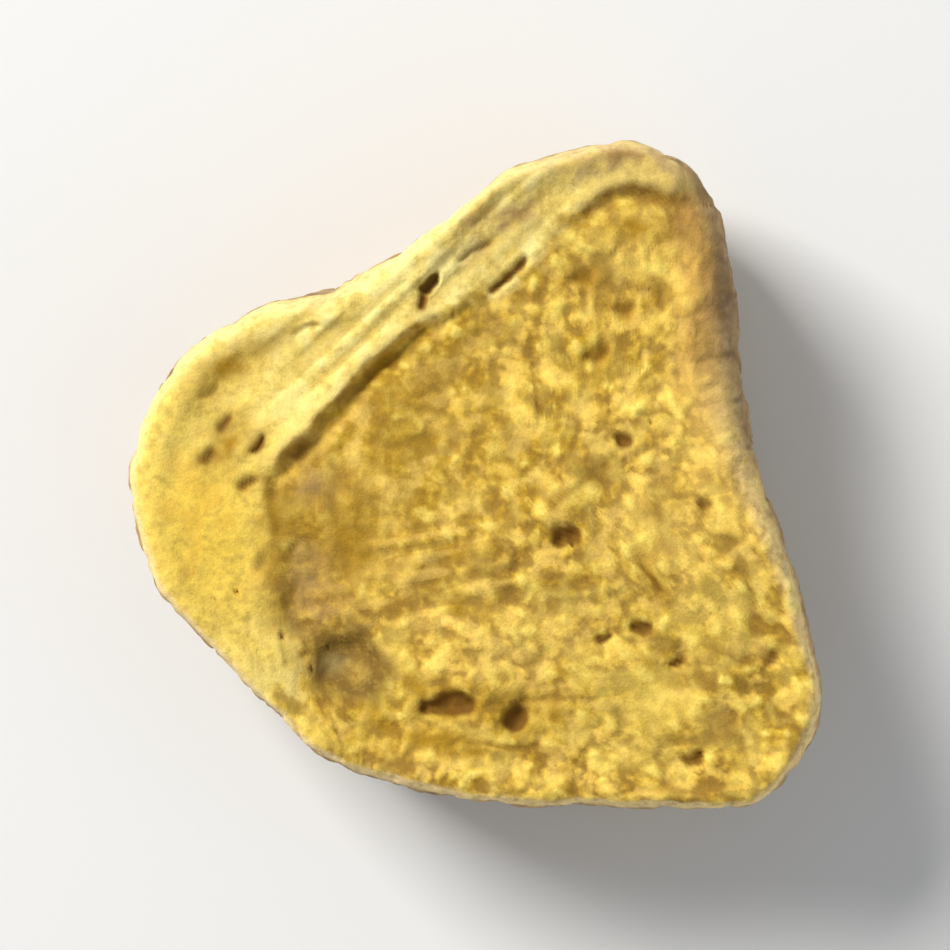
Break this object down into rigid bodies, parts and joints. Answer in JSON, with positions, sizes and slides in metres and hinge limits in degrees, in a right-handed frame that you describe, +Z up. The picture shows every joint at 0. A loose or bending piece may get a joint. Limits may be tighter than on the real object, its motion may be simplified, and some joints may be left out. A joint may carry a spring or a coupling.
{
  "type": "dried ginger root slice",
  "caption": "Dried ginger root, cut across into a thick rounded-triangle slice with a pale outer band, a creased and pitted golden cut face and wrinkled skin.",
  "frame": {"origin": "centre of the slice's outer bounds as seen from above, on the surface it rests on", "axes": "+Z up, out of the upper cut face; +X to the right and +Y away, as the slice lies in the picture"},
  "size_m": [0.0134, 0.013, 0.005],
  "materials": {
    "dried_flesh": "matte"
  },
  "bodies": {
    "root": {"ginger_slice": "dried_flesh"}
  },
  "joints": []
}
